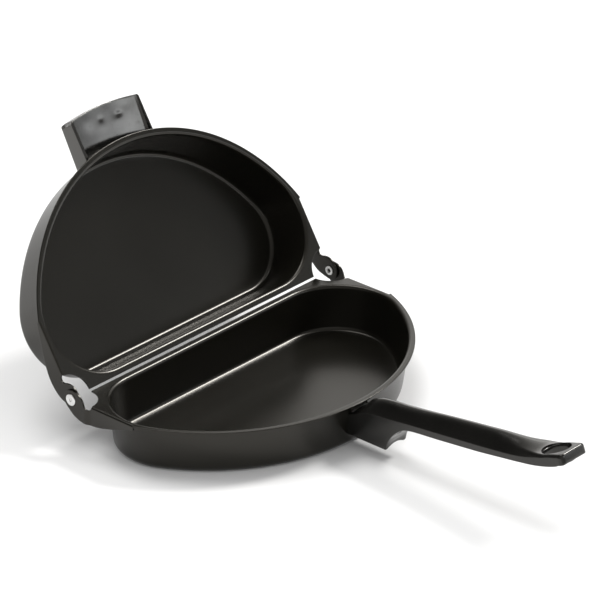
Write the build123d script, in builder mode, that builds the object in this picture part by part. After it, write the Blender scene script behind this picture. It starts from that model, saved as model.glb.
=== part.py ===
from build123d import *
import math
import os

os.makedirs("parts", exist_ok=True)

# ---------------------------------------------------------------- driving sizes (mm, degrees)
OPEN_ANGLE = 121.6      # between the two rim planes at rest
HINGE_X = -66.0         # hinge axis, seen from the middle of the flat underside
RIM_GAP = 0.25          # each rim plane lies this far off the hinge axis
SHEET = 1.2             # pressed sheet thickness
DEPTH = 30.2            # inside depth of each well
WALL_TAPER = 8.0        # draft of the round wall
RIM_Z = DEPTH + SHEET
HINGE_Z = RIM_Z + RIM_GAP

WELL_LINE = 5.4         # straight side of the well at the rim, from the hinge axis
FLOOR_LINE = 6.9        # the same side at the floor: this wall stands steeper than the round one
WELL_R = 122.6          # round side of the well at the rim
WELL_CX = 4.4           # centre of the round side
WELL_CORNER = 38.0      # corner radius of the D at the rim
FLOOR_CORNER = 35.5     # and at the floor
FLOOR_R = WELL_R - DEPTH * math.tan(math.radians(WALL_TAPER))
FLOOR_FILLET = 3.2
OUTER_FILLET = 5.6
RIM_FILLET = 2.4

FLANGE_LINE = 1.0       # straight edge of the flange, from the hinge axis
FLANGE_R = 126.1
FLANGE_CX = 5.65
FOLD_Y = 117.3          # outer face of the folded ears
FOLD_R = 1.4
NOTCH_R = 15.0          # round notch of the flange about each pivot
CORNER_X = 50.2         # where the ears end
CORNER_Y = 117.9        # the flange stands a little proud of the ears beyond that

TONGUE_R = 6.3
EAR_SHIFT = 1.45        # outward set of the lower tongues
PIVOT_R = 2.4           # rivet shank
PIVOT_HOLE_R = 2.45

HEAD_R = 3.8
HEAD_T = 0.75
RING_R = 3.05
RING_T = 0.65
RING_GAP = 0.1
RIVET_BORE_R = 1.3
RIVET_BORE_DEPTH = 3.0

HANDLE_HALF = 9.5       # long handle, half width at the neck
HANDLE_TIP_HALF = 11.5
BLOCK_Z = -22.0         # bottom of the handle's root block, from the rim plane
BLOCK_X = 156.0

GRIP_END_R = 155.6      # outer end of the short grip, about the hinge axis
GRIP_HALF = 30.0
GRIP_WALL = 2.3
GRIP_TOP = 4.6          # side walls start this far below the rim plane
GRIP_EDGE = 6.2         # depth of the recessed face beside the walls
BOSS_HALF = 10.5
BOSS_DEPTH = 24.2
BOSS_END = 151.0

PLATE_T = 1.8           # bracket plates and tongues
TONGUE_T = 3.0
TONGUE_HALF = 6.0
SLOT_GAP = 0.1
SCREW_R = 2.0
SCREW_HOLE_R = 2.1
SCREW_HEAD_R = 3.8
SCREW_HEAD_T = 2.1
WASHER_R = 4.0
WASHER_T = 0.9

# ---------------------------------------------------------------- frames
phi = math.radians(OPEN_ANGLE)
# local x runs from the hinge axis across a half, local z runs into its well
LOWER = Plane(origin=(HINGE_X, 0, HINGE_Z), x_dir=(1, 0, 0), z_dir=(0, 0, -1))
UPPER = Plane(
    origin=(HINGE_X, 0, HINGE_Z),
    x_dir=(math.cos(phi), 0, math.sin(phi)),
    z_dir=(-math.sin(phi), 0, math.cos(phi)),
)
LOWER_RIM = LOWER.offset(RIM_GAP)
UPPER_RIM = UPPER.offset(RIM_GAP)


def side_of(pl):
    """Local x as in pl, local y into the well."""
    return Plane(origin=pl.origin, x_dir=pl.x_dir, z_dir=pl.x_dir.cross(pl.z_dir))


def end_of(pl, x):
    """Section plane square to the local x of pl; local x is the width, local y runs out of the well."""
    o = pl.origin + pl.x_dir * x
    return Plane(origin=o, x_dir=(0, 1, 0), z_dir=Vector(0, 1, 0).cross(pl.z_dir * -1))


def at_depth(edges, pl, depth, tol=0.05):
    """Edges that lie wholly at one depth of a half."""
    out = []
    for e in edges:
        zs = [pl.to_local_coords(e.position_at(t)).Z for t in (0, 0.25, 0.5, 0.75, 1)]
        if max(abs(z - depth) for z in zs) < tol:
            out.append(e)
    return out


def well_body(rim, grow, depth, corner):
    """Tapered D: the inside of a well when grow is 0, its outside when grow is the sheet."""
    k = depth / DEPTH
    with BuildPart() as body:
        for at, line, radius, bend in (
            (0, WELL_LINE, WELL_R, WELL_CORNER),
            (depth, WELL_LINE + k * (FLOOR_LINE - WELL_LINE), WELL_R + k * (FLOOR_R - WELL_R),
             WELL_CORNER + k * (FLOOR_CORNER - WELL_CORNER)),
        ):
            with BuildSketch(rim.offset(at)) as outline:
                with Locations((WELL_CX, 0)):
                    Circle(radius + grow)
                with Locations((line - grow - 200, 0)):
                    Rectangle(400, 600, mode=Mode.SUBTRACT)
                fillet(outline.vertices(), bend + grow)
        loft(ruled=True)
        if corner:
            fillet(at_depth(body.edges(), rim, depth), corner)
    return body.part


# ear outline: x from the pivot, depth below the hinge axis
EAR_LOW = [(-1.2, 7.5), (2.2, 10.2), (5.7, 11.7), (9.4, 12.6), (15.5, 13.0), (22.6, 12.0),
           (30.2, 10.0), (38.1, 7.4), (44.4, 5.3), (CORNER_X, 3.4)]
EAR_TOP = [(4.4, -5.7), (7.2, -4.3), (9.2, -1.9), (10.2, 0.6)]
EAR_JOG = (10.3, 15.4)


def make_ear(pl, shift):
    """A strip folded down from the flange, with a round tongue about the pivot."""
    y0 = FOLD_Y - SHEET
    xa, xb = EAR_JOG
    with BuildPart() as ear:
        with BuildSketch(pl.offset(-9)):
            with BuildLine():
                Line((CORNER_X + 2, y0), (CORNER_X + 2, FOLD_Y))
                Line((CORNER_X + 2, FOLD_Y), (xb, FOLD_Y))
                if shift:
                    Spline((xb, FOLD_Y), (xa, FOLD_Y + shift), tangents=[(-1, 0), (-1, 0)])
                else:
                    Line((xb, FOLD_Y), (xa, FOLD_Y))
                Line((xa, FOLD_Y + shift), (-8, FOLD_Y + shift))
                Line((-8, FOLD_Y + shift), (-8, y0 + shift))
                Line((-8, y0 + shift), (xa, y0 + shift))
                if shift:
                    Spline((xa, y0 + shift), (xb, y0), tangents=[(1, 0), (1, 0)])
                else:
                    Line((xa, y0), (xb, y0))
                Line((xb, y0), (CORNER_X + 2, y0))
            make_face()
        extrude(amount=24)
        r = TONGUE_R
        a = math.radians(72)
        b = math.radians(135)
        low = (r * math.cos(b), r * math.sin(b))
        top = (r * math.cos(a), -r * math.sin(a))
        with BuildSketch(side_of(pl)):
            with BuildLine():
                ThreePointArc(top, (-r, 0), low)
                Spline(low, *EAR_LOW, tangents=[(math.sin(b), -math.cos(b)), (1, -0.3)])
                Line(EAR_LOW[-1], (CORNER_X, RIM_GAP))
                Line((CORNER_X, RIM_GAP), (15.3, RIM_GAP))
                ThreePointArc((15.3, RIM_GAP), (12.9, 3.1), EAR_TOP[-1])
                Spline(EAR_TOP[-1], *EAR_TOP[-2::-1], top,
                       tangents=[(-0.2, -1), (-math.sin(a), -math.cos(a))])
            make_face()
        extrude(amount=200, both=True, mode=Mode.INTERSECT)
        with BuildSketch(side_of(pl)):
            Circle(PIVOT_HOLE_R)
        extrude(amount=200, both=True, mode=Mode.SUBTRACT)
    return ear.part


def make_half(pl, shift):
    """A half pan in its own plane: well, rim flange, notches and two folded ears."""
    rim = pl.offset(RIM_GAP)
    ear = make_ear(pl, shift)
    outside = well_body(rim, SHEET, DEPTH + SHEET, OUTER_FILLET)
    inside = well_body(rim, 0.0, DEPTH, FLOOR_FILLET)
    with BuildPart() as half:
        add(outside)
        with BuildSketch(rim):
            with Locations((FLANGE_CX, 0)):
                Circle(FLANGE_R)
            with Locations((FLANGE_LINE - 200, 0)):
                Rectangle(400, 600, mode=Mode.SUBTRACT)
            with Locations((60, CORNER_Y + 100), (60, -CORNER_Y - 100)):
                Rectangle(600, 200, mode=Mode.SUBTRACT)
            with Locations((CORNER_X - 150, FOLD_Y + 100), (CORNER_X - 150, -FOLD_Y - 100)):
                Rectangle(300, 200, mode=Mode.SUBTRACT)
            with Locations((0, FOLD_Y - 0.3), (0, -FOLD_Y + 0.3)):
                Circle(NOTCH_R, mode=Mode.SUBTRACT)
        extrude(amount=SHEET)
        add(inside, mode=Mode.SUBTRACT)
        lip = []
        for e in at_depth(half.edges(), rim, 0):
            m = rim.to_local_coords(e.position_at(0.5))
            if e.length > 20 and abs(m.Y) < 115.5 and m.X > FLANGE_LINE + 1.5 \
                    and math.hypot(m.X - WELL_CX, m.Y) < WELL_R + 0.4 \
                    and math.hypot(m.X, abs(m.Y) - FOLD_Y) > NOTCH_R + 1:
                lip.append(e)
        fillet(lip, RIM_FILLET)
        add(ear)
        add(ear.mirror(Plane.XZ))
        # rounded outside of each fold
        q = FOLD_R * (1 - math.sqrt(0.5))
        with BuildSketch(Plane(origin=pl.origin + pl.x_dir * 32, x_dir=(0, 1, 0), z_dir=Vector(0, 1, 0).cross(pl.z_dir))):
            for s in (1, -1):
                with BuildLine():
                    ThreePointArc((s * (FOLD_Y - FOLD_R), RIM_GAP), (s * (FOLD_Y - q), RIM_GAP + q),
                                  (s * FOLD_Y, RIM_GAP + FOLD_R))
                    Polyline((s * FOLD_Y, RIM_GAP + FOLD_R), (s * (FOLD_Y + 2), RIM_GAP + FOLD_R),
                             (s * (FOLD_Y + 2), RIM_GAP - 1), (s * (FOLD_Y - FOLD_R), RIM_GAP - 1),
                             (s * (FOLD_Y - FOLD_R), RIM_GAP))
                make_face()
        extrude(amount=18.2, both=True, mode=Mode.SUBTRACT)
    return half.part


with BuildPart() as lower_pan_shell:
    add(make_half(LOWER, EAR_SHIFT))
with BuildPart() as upper_pan_shell:
    add(make_half(UPPER, 0.0))


# ---------------------------------------------------------------- hinge rivets
def make_rivet(side):
    """Flat head outside, shank through both ears, rolled hollow end inside."""
    head = FOLD_Y + EAR_SHIFT
    ring = FOLD_Y - SHEET - RING_GAP
    bore = ring - RING_T
    with BuildPart() as rivet:
        with BuildSketch(Plane(origin=(HINGE_X, 0, HINGE_Z), x_dir=(1, 0, 0), z_dir=(0, 0, side))):
            with BuildLine():
                Polyline((0, head + HEAD_T - 0.35), (0.7, head + HEAD_T - 0.35), (0.85, head + HEAD_T),
                         (HEAD_R - 0.35, head + HEAD_T))
                Line((HEAD_R - 0.35, head + HEAD_T), (HEAD_R, head + HEAD_T - 0.35))
                Polyline((HEAD_R, head + HEAD_T - 0.35), (HEAD_R, head), (PIVOT_R, head),
                         (PIVOT_R, ring), (RING_R, ring), (RING_R, bore + 0.3))
                ThreePointArc((RING_R, bore + 0.3), (RING_R - 0.09, bore + 0.09), (RING_R - 0.3, bore))
                Line((RING_R - 0.3, bore), (RIVET_BORE_R + 0.5, bore))
                ThreePointArc((RIVET_BORE_R + 0.5, bore), (RIVET_BORE_R + 0.15, bore + 0.15),
                              (RIVET_BORE_R, bore + 0.5))
                Polyline((RIVET_BORE_R, bore + 0.5), (RIVET_BORE_R, bore + RIVET_BORE_DEPTH),
                         (0, bore + RIVET_BORE_DEPTH + 0.5), (0, head + HEAD_T - 0.35))
            make_face()
        revolve(axis=Axis((HINGE_X, 0, HINGE_Z), (0, 1, 0)), revolution_arc=360)
    return rivet.part


# the sketch plane flips over for the second one, so its head lies on the other side
with BuildPart() as hinge_rivet_right:
    add(make_rivet(1))
with BuildPart() as hinge_rivet_left:
    add(make_rivet(1).mirror(Plane.XZ))


# ---------------------------------------------------------------- long handle
H = Plane(origin=(HINGE_X, 0, RIM_Z), x_dir=(1, 0, 0), z_dir=(0, -1, 0))   # x out, y up
ARCH = [(156.0, -22.0), (156.8, -18.0), (158.3, -14.6), (161.4, -10.2), (165.5, -6.3), (171.0, -3.2)]
UNDERSIDE = [(171.0, -3.2), (176.0, -2.1), (182.0, -1.4), (190.0, -0.65), (198.0, 0.2), (206.0, 1.2),
             (214.0, 2.2), (230.0, 4.4), (247.0, 7.2), (260.0, 9.3), (272.0, 11.6), (284.0, 15.3), (292.4, 19.1)]
# x, crease, crest, flatness of the top, softness of the ridge
CROWN = [(116.0, -14.0, -13.0, 0.0, 12.0), (124.0, -9.6, -8.2, 0.0, 12.0), (129.0, -6.9, -5.3, 0.0, 12.0),
         (131.5, -5.7, -4.0, 0.0, 12.0), (133.0, -4.9, -2.6, 0.0, 12.0), (135.0, -3.9, -0.2, 0.0, 11.0),
         (137.5, -2.8, 2.5, 0.0, 9.5), (141.0, -1.7, 4.7, 0.0, 7.0), (145.0, -1.0, 6.2, 0.0, 4.6),
         (150.0, -0.6, 7.2, 0.0, 3.2), (157.0, 0.0, 8.0, 0.0, 2.4), (164.0, 0.9, 8.7, 0.0, 2.0),
         (172.0, 2.0, 9.65, 0.0, 1.7), (182.0, 3.1, 11.05, 0.0, 1.7), (195.0, 4.5, 13.0, 0.0, 1.7),
         (210.0, 6.35, 15.15, 0.0, 1.7), (225.0, 8.25, 17.1, 0.0, 1.7), (240.0, 10.35, 18.9, 0.0, 1.7),
         (252.0, 12.1, 19.3, 0.1, 1.7), (260.0, 13.4, 18.4, 0.4, 1.7), (267.0, 14.8, 17.9, 0.8, 1.7),
         (275.0, 17.1, 19.4, 1.0, 1.7), (283.0, 19.8, 22.0, 1.0, 1.7), (291.0, 22.5, 24.9, 1.0, 1.7),
         (300.0, 26.0, 28.2, 1.0, 1.7)]


def half_width(x):
    t = min(max((x - 185.0) / 90.0, 0.0), 1.0)
    return HANDLE_HALF + (HANDLE_TIP_HALF - HANDLE_HALF) * t * t * (3 - 2 * t)


def crown_points(x, crease, crest, flat, soft):
    """Right half of the top of one cross-section, from the crease to the crest: two flanks that meet in a soft ridge."""
    hw = half_width(x)
    slope = math.sqrt((crest - crease + soft) ** 2 - soft ** 2) / hw
    def mix(y, fx, fz):
        z = crest + soft - math.hypot(soft, slope * y)
        return (y + (fx - y) * flat, z + (fz - z) * flat)
    return (hw, crease), mix(0.6 * hw, hw - 0.7, crest - 0.8), mix(0.22 * hw, hw - 2.4, crest - 0.12)


with BuildPart() as crown:
    for x, crease, crest, flat, soft in CROWN:
        p0, p1, p2 = crown_points(x, crease, crest, flat, soft)
        drop = 4.3 + 1.7 * flat
        with BuildSketch(Plane(origin=(HINGE_X + x, 0, RIM_Z), x_dir=(0, 1, 0), z_dir=(1, 0, 0))):
            with BuildLine():
                Line((-p0[0] - 2.5, -60), (p0[0] + 2.5, -60))
                Line((p0[0] + 2.5, -60), (p0[0] + 2.5, p0[1] - drop))
                Line((p0[0] + 2.5, p0[1] - drop), p0)
                ThreePointArc(p0, p1, p2)
                ThreePointArc(p2, (0, crest), (-p2[0], p2[1]))
                ThreePointArc((-p2[0], p2[1]), (-p1[0], p1[1]), (-p0[0], p0[1]))
                Line((-p0[0], p0[1]), (-p0[0] - 2.5, p0[1] - drop))
                Line((-p0[0] - 2.5, p0[1] - drop), (-p0[0] - 2.5, -60))
            make_face()
    loft(ruled=True)

TIP = (292.4, 19.1)
TIP_UP = (-0.363, 0.932)
# outline of the hang hole, x along the turned-up tip from 278.5
HANG = [(-8.2, 0.0), (-7.3, 4.6), (-4.2, 7.9), (0.4, 8.9), (4.6, 7.4), (7.7, 4.2),
        (9.0, 0.0), (7.7, -4.2), (4.6, -7.4), (0.4, -8.9), (-4.2, -7.9), (-7.3, -4.6)]
HANDLE_SCREW_X = 143.0
HANDLE_TONGUE = (-14.0, -11.0)
RECESS_Z = -17.2

handle_wall = well_body(LOWER_RIM, SHEET + SLOT_GAP, DEPTH + SHEET, 0)
handle_pocket = well_body(LOWER_RIM, SHEET + PLATE_T + 0.2, DEPTH + SHEET, 0)

with BuildPart() as plate_pocket:
    with BuildSketch(Plane(origin=(HINGE_X + 110, 0, RIM_Z), x_dir=(0, 1, 0), z_dir=(1, 0, 0))):
        with Locations((0, -12.5)):
            Rectangle(14.4, 13.4)
    extrude(amount=30)
    add(handle_pocket, mode=Mode.INTERSECT)

with BuildPart() as long_handle:
    with BuildSketch(H):
        with BuildLine():
            Line((118, BLOCK_Z), (BLOCK_X, BLOCK_Z))
            Spline(*ARCH, tangents=[(0.12, 1), (1, 0.34)])
            Spline(*UNDERSIDE, tangents=[(1, 0.34), (0.93, 0.363)])
            Line(TIP, (TIP[0] + 26 * TIP_UP[0], TIP[1] + 26 * TIP_UP[1]))
            Line((TIP[0] + 26 * TIP_UP[0], TIP[1] + 26 * TIP_UP[1]), (118, 40))
            Line((118, 40), (118, BLOCK_Z))
        make_face()
    extrude(amount=20, both=True)
    with BuildSketch(Plane.XY):
        pts = [(HINGE_X + x, half_width(x)) for x in (185, 200, 215, 230, 245, 260, 275)]
        with BuildLine():
            Line((HINGE_X + 110, HANDLE_HALF), pts[0])
            Spline(*pts, tangents=[(1, 0), (1, 0)])
            Line(pts[-1], (HINGE_X + 300, HANDLE_TIP_HALF))
            Line((HINGE_X + 300, HANDLE_TIP_HALF), (HINGE_X + 300, -HANDLE_TIP_HALF))
            mpts = [(px, -py) for px, py in reversed(pts)]
            Line((HINGE_X + 300, -HANDLE_TIP_HALF), mpts[0])
            Spline(*mpts, tangents=[(-1, 0), (-1, 0)])
            Line(mpts[-1], (HINGE_X + 110, -HANDLE_HALF))
            Line((HINGE_X + 110, -HANDLE_HALF), (HINGE_X + 110, HANDLE_HALF))
        make_face()
    extrude(amount=120, mode=Mode.INTERSECT)
    ends = [e for e in long_handle.edges()
            if e.center().X > HINGE_X + 280 and abs(e.center().Y) > HANDLE_TIP_HALF - 0.1
            and e.length > 20 and e.length < 40]
    fillet(ends, 3.0)
    add(crown.part, mode=Mode.INTERSECT)
    add(handle_wall, mode=Mode.SUBTRACT)
    add(plate_pocket.part, mode=Mode.SUBTRACT)
    # slot for the bracket's tongue
    with BuildSketch(Plane(origin=(HINGE_X + 120, 0, RIM_Z), x_dir=(0, 1, 0), z_dir=(1, 0, 0))):
        with Locations((0, sum(HANDLE_TONGUE) / 2)):
            Rectangle(2 * (TONGUE_HALF + SLOT_GAP), TONGUE_T + 2 * SLOT_GAP)
    extrude(amount=32, mode=Mode.SUBTRACT)
    # screw hole from below
    with BuildSketch(Plane(origin=(HINGE_X + HANDLE_SCREW_X, 0, RIM_Z - 7.0), x_dir=(1, 0, 0), z_dir=(0, 0, -1))):
        Circle(SCREW_HOLE_R)
    extrude(amount=20, mode=Mode.SUBTRACT)
    # open underside of the root block
    with BuildSketch(Plane(origin=(HINGE_X, 0, RIM_Z + BLOCK_Z - 1), x_dir=(1, 0, 0), z_dir=(0, 0, 1))):
        with Locations((HANDLE_SCREW_X, 0)):
            RectangleRounded(19.0, 13.6, 2.0)
    extrude(amount=RECESS_Z - BLOCK_Z + 1, mode=Mode.SUBTRACT)
    # shallow arch between the side walls of the block
    with BuildSketch(Plane(origin=(HINGE_X + 118, 0, RIM_Z + BLOCK_Z), x_dir=(0, 1, 0), z_dir=(1, 0, 0))):
        with BuildLine():
            ThreePointArc((-7.3, -0.01), (0, 2.0), (7.3, -0.01))
            Polyline((7.3, -0.01), (7.3, -2), (-7.3, -2), (-7.3, -0.01))
        make_face()
    extrude(amount=50, mode=Mode.SUBTRACT)
    # hang hole, square to the turned-up tip
    with BuildSketch(Plane(origin=(HINGE_X + 278.5, 0, RIM_Z + 20.5), x_dir=(0.951, 0, 0.309), z_dir=(-0.309, 0, 0.951))):
        with BuildLine():
            Spline(*HANG, periodic=True)
        make_face()
    extrude(amount=15, both=True, mode=Mode.SUBTRACT)

# ---------------------------------------------------------------- brackets, screws and lock washers
lower_outside = well_body(LOWER_RIM, SHEET, DEPTH + SHEET, 0)
lower_plate_skin = well_body(LOWER_RIM, SHEET + PLATE_T, DEPTH + SHEET, 0)
with BuildPart() as handle_bracket:
    with BuildSketch(Plane(origin=(HINGE_X + 110, 0, RIM_Z), x_dir=(0, 1, 0), z_dir=(1, 0, 0))):
        with Locations((0, -12.5)):
            RectangleRounded(14.0, 13.0, 1.5)
    extrude(amount=30)
    add(lower_plate_skin, mode=Mode.INTERSECT)
    with BuildSketch(Plane(origin=(HINGE_X + 122, 0, RIM_Z), x_dir=(0, 1, 0), z_dir=(1, 0, 0))):
        with Locations((0, sum(HANDLE_TONGUE) / 2)):
            Rectangle(2 * TONGUE_HALF, TONGUE_T)
    extrude(amount=29)
    add(lower_outside, mode=Mode.SUBTRACT)
    with BuildSketch(Plane(origin=(HINGE_X + HANDLE_SCREW_X, 0, RIM_Z - 8), x_dir=(1, 0, 0), z_dir=(0, 0, -1))):
        Circle(SCREW_HOLE_R)
    extrude(amount=8, mode=Mode.SUBTRACT)


def make_screw(pl, length):
    """Pan-head screw; local z of pl points from the tip out through the head, whose seat is at local 0."""
    with BuildPart() as screw:
        with BuildSketch(pl):
            Circle(SCREW_HEAD_R)
        extrude(amount=SCREW_HEAD_T)
        fillet(screw.faces().sort_by(Axis(pl.origin, pl.z_dir))[-1].edges(), 0.9)
        with BuildSketch(pl):
            Circle(SCREW_R)
        extrude(amount=-length)
        chamfer(screw.faces().sort_by(Axis(pl.origin, pl.z_dir))[0].edges(), 0.5)
        with BuildSketch(pl.offset(SCREW_HEAD_T - 1.1)):
            Rectangle(4.4, 1.0)
            Rectangle(1.0, 4.4)
        extrude(amount=5, mode=Mode.SUBTRACT)
    return screw.part


def make_washer(pl):
    """Split lock washer seated at local 0."""
    with BuildPart() as washer:
        with BuildSketch(pl):
            Circle(WASHER_R)
            Circle(SCREW_HOLE_R, mode=Mode.SUBTRACT)
            with Locations((WASHER_R, 0)):
                Rectangle(6, 0.9, mode=Mode.SUBTRACT)
        extrude(amount=WASHER_T)
    return washer.part


HANDLE_SEAT = Plane(origin=(HINGE_X + HANDLE_SCREW_X, 0, RIM_Z + RECESS_Z - 0.05), x_dir=(1, 0, 0), z_dir=(0, 0, -1))
with BuildPart() as handle_lock_washer:
    add(make_washer(HANDLE_SEAT))
with BuildPart() as handle_screw:
    add(make_screw(HANDLE_SEAT.offset(WASHER_T + 0.05), 10.6))

# ---------------------------------------------------------------- short grip
GRIP_SIDE = side_of(UPPER_RIM)
GRIP_SCREW_X = 139.0
GRIP_SEAT = 20.6
GRIP_TONGUE = (16.0, 19.0)
grip_wall = well_body(UPPER_RIM, SHEET + SLOT_GAP, DEPTH + SHEET, 0)
grip_pocket = well_body(UPPER_RIM, SHEET + PLATE_T + 0.2, DEPTH + SHEET, 0)
UPPER_END = Plane(origin=UPPER_RIM.origin + UPPER_RIM.x_dir * 110, x_dir=(0, 1, 0), z_dir=UPPER_RIM.x_dir)

with BuildPart() as grip_plate_pocket:
    with BuildSketch(UPPER_RIM.offset(13.0)):
        with Locations((120, 0)):
            Rectangle(60, 16.4)
    extrude(amount=9.2)
    add(grip_pocket, mode=Mode.INTERSECT)

with BuildPart() as boss:
    with BuildSketch(UPPER_RIM.offset(12.0)) as boss_outline:
        with Locations(((110 + BOSS_END) / 2, 0)):
            Rectangle(BOSS_END - 110, 2 * BOSS_HALF)
        fillet(boss_outline.vertices().sort_by(Axis.X)[-2:], 5.0)
    extrude(amount=BOSS_DEPTH - 12.0, taper=2)
    fillet(at_depth(boss.edges(), UPPER_RIM, BOSS_DEPTH), 1.2)

with BuildPart() as short_grip:
    with BuildSketch(UPPER_RIM.offset(GRIP_TOP)) as grip_outline:
        Circle(GRIP_END_R)
        with Locations((125, 0)):
            Rectangle(90, 2 * GRIP_HALF, mode=Mode.INTERSECT)
        fillet([v for v in grip_outline.vertices() if UPPER_RIM.to_local_coords(v).X > 140], 3.0)
    extrude(amount=16)
    with BuildSketch(GRIP_SIDE):
        with BuildLine():
            Polyline((60, -1), (165, -1), (165, 14.3), (154, 15.1), (125, 17.3), (60, 22.2), (60, -1))
        make_face()
    extrude(amount=60, both=True, mode=Mode.INTERSECT)
    # dished face between the side walls, deepest where it takes the handle's crown
    y1 = GRIP_HALF - GRIP_WALL
    for x, mid in ((160, 8.3), (110, 12.2)):
        edge = mid - 8.7 + GRIP_EDGE
        with BuildSketch(Plane(origin=UPPER_RIM.origin + UPPER_RIM.x_dir * x, x_dir=(0, 1, 0), z_dir=UPPER_RIM.x_dir)):
            with BuildLine():
                # local y of this plane runs into the well
                Line((-y1, -3), (y1, -3))
                Line((y1, -3), (y1, edge))
                Spline((y1, edge), (19.0, edge + 1.3), (9.5, mid), (0, mid + 0.05), (-9.5, mid),
                       (-19.0, edge + 1.3), (-y1, edge))
                Line((-y1, edge), (-y1, -3))
            make_face()
    loft(ruled=True, mode=Mode.SUBTRACT)
    add(boss.part)
    add(grip_wall, mode=Mode.SUBTRACT)
    add(grip_plate_pocket.part, mode=Mode.SUBTRACT)
    with BuildSketch(UPPER_RIM.offset(GRIP_TONGUE[0] - SLOT_GAP)):
        with Locations((129, 0)):
            Rectangle(38, 2 * (TONGUE_HALF + SLOT_GAP))
    extrude(amount=TONGUE_T + 2 * SLOT_GAP, mode=Mode.SUBTRACT)
    with BuildSketch(UPPER_RIM.offset(13.4)):
        with Locations((GRIP_SCREW_X, 0)):
            Circle(SCREW_HOLE_R)
    extrude(amount=20, mode=Mode.SUBTRACT)
    with BuildSketch(UPPER_RIM.offset(GRIP_SEAT)):
        with Locations((GRIP_SCREW_X, 0)):
            Circle(4.7)
    extrude(amount=10, mode=Mode.SUBTRACT)

upper_outside = well_body(UPPER_RIM, SHEET, DEPTH + SHEET, 0)
upper_plate_skin = well_body(UPPER_RIM, SHEET + PLATE_T, DEPTH + SHEET, 0)
with BuildPart() as grip_bracket:
    with BuildSketch(UPPER_RIM.offset(13.2)):
        with Locations((120, 0)):
            Rectangle(60, 16.0)
    extrude(amount=8.8)
    add(upper_plate_skin, mode=Mode.INTERSECT)
    with BuildSketch(UPPER_RIM.offset(GRIP_TONGUE[0])):
        with Locations((134, 0)):
            Rectangle(26, 2 * TONGUE_HALF)
    extrude(amount=TONGUE_T)
    add(upper_outside, mode=Mode.SUBTRACT)
    with BuildSketch(UPPER_RIM.offset(14)):
        with Locations((GRIP_SCREW_X, 0)):
            Circle(SCREW_HOLE_R)
    extrude(amount=7, mode=Mode.SUBTRACT)

seat = UPPER_RIM.offset(GRIP_SEAT + 0.05)
GRIP_SEAT_PLANE = Plane(origin=seat.origin + seat.x_dir * GRIP_SCREW_X, x_dir=seat.x_dir, z_dir=seat.z_dir)
with BuildPart() as grip_lock_washer:
    add(make_washer(GRIP_SEAT_PLANE))
with BuildPart() as grip_screw:
    add(make_screw(GRIP_SEAT_PLANE.offset(WASHER_T + 0.05), 7.9))

# ---------------------------------------------------------------- one STEP file per piece
lower_pan_shell.part.label = "lower_pan_shell"
export_step(lower_pan_shell.part, "parts/lower_pan_shell.step")
upper_pan_shell.part.label = "upper_pan_shell"
export_step(upper_pan_shell.part, "parts/upper_pan_shell.step")
hinge_rivet_left.part.label = "hinge_rivet_left"
export_step(hinge_rivet_left.part, "parts/hinge_rivet_left.step")
hinge_rivet_right.part.label = "hinge_rivet_right"
export_step(hinge_rivet_right.part, "parts/hinge_rivet_right.step")
long_handle.part.label = "long_handle"
export_step(long_handle.part, "parts/long_handle.step")
handle_bracket.part.label = "handle_bracket"
export_step(handle_bracket.part, "parts/handle_bracket.step")
handle_screw.part.label = "handle_screw"
export_step(handle_screw.part, "parts/handle_screw.step")
handle_lock_washer.part.label = "handle_lock_washer"
export_step(handle_lock_washer.part, "parts/handle_lock_washer.step")
short_grip.part.label = "short_grip"
export_step(short_grip.part, "parts/short_grip.step")
grip_bracket.part.label = "grip_bracket"
export_step(grip_bracket.part, "parts/grip_bracket.step")
grip_screw.part.label = "grip_screw"
export_step(grip_screw.part, "parts/grip_screw.step")
grip_lock_washer.part.label = "grip_lock_washer"
export_step(grip_lock_washer.part, "parts/grip_lock_washer.step")

for piece in (lower_pan_shell, upper_pan_shell, hinge_rivet_left, hinge_rivet_right, long_handle, handle_bracket,
              handle_screw, handle_lock_washer, short_grip, grip_bracket, grip_screw, grip_lock_washer):
    box = piece.part.bounding_box()
    print(piece.part.label, round(piece.part.volume / 1000, 2), "cm3, solids", len(piece.part.solids()),
          [round(v, 1) for v in (box.min.X, box.min.Y, box.min.Z, box.max.X, box.max.Y, box.max.Z)])
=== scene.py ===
import math

import bmesh
import bpy
import numpy as np
from mathutils import Matrix, Vector
from mathutils.geometry import delaunay_2d_cdt


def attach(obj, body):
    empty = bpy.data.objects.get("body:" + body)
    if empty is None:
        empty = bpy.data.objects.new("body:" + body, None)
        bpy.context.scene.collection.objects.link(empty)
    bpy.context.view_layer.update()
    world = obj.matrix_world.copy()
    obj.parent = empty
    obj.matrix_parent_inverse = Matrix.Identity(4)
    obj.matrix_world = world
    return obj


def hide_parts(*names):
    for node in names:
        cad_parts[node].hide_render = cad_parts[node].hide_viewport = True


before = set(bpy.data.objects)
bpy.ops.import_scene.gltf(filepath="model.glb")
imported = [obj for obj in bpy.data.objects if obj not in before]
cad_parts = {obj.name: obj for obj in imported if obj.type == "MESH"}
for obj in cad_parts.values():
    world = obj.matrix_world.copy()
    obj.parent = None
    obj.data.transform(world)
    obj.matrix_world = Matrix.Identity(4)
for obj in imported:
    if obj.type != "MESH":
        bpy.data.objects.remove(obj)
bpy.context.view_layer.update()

# ------------------------------------------------------------------ sizes, in mm, as in the CAD
OPEN = math.radians(121.6)
HX = -66.0
GAP = 0.25
SHEET = 1.2
DEPTH = 30.2
TAPER = math.tan(math.radians(8.0))
RIM_Z = DEPTH + SHEET
HZ = RIM_Z + GAP
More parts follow.
